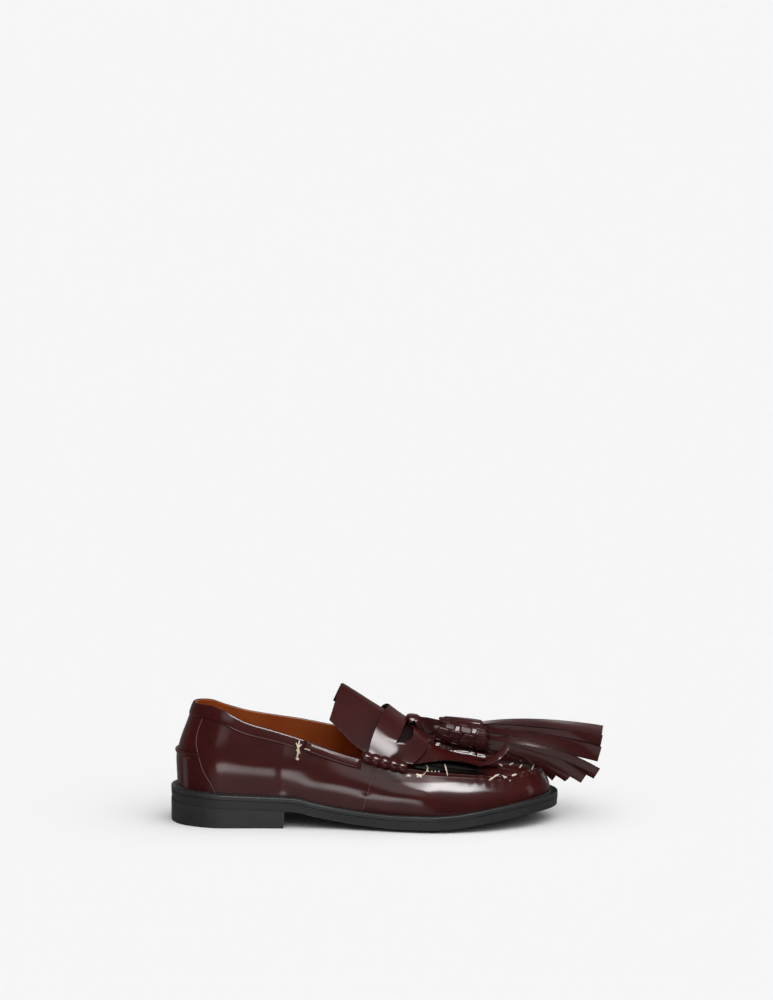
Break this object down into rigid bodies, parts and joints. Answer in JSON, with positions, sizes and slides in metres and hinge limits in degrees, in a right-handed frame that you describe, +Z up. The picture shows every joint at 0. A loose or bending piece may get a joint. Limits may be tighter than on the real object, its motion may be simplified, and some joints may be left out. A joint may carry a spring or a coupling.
{
  "type": "tassel loafer",
  "caption": "Right slip-on leather loafer with a hollow upper on a welted sole, saddle with rolled ends, flared tongue, fringed kiltie and broad-stripped tassels.",
  "frame": {"origin": "on the floor under the middle of the heel's flat underside", "axes": "+X towards the toe, +Y towards the shoe's inner side, +Z up"},
  "size_m": [0.317, 0.0976, 0.1013],
  "materials": {
    "sole_rubber": "satin black",
    "welt_leather": "satin black",
    "lining_leather": "smooth tan",
    "upper_leather": "brushed-off high gloss burgundy",
    "tassel_leather": "high gloss burgundy"
  },
  "bodies": {
    "root": {"outsole": "sole_rubber", "heel": "sole_rubber", "top_lift": "sole_rubber", "welt": "welt_leather", "insole": "lining_leather", "upper": "upper_leather", "counter": "upper_leather", "collar_binding": "upper_leather", "collar_strip_near": "upper_leather", "collar_strip_far": "upper_leather", "tongue": "upper_leather", "saddle": "upper_leather", "roll_near": "upper_leather", "roll_far": "upper_leather", "kiltie": "upper_leather", "tassel_loop": "tassel_leather", "tassel_near": "tassel_leather", "tassel_far": "tassel_leather"}
  },
  "joints": []
}
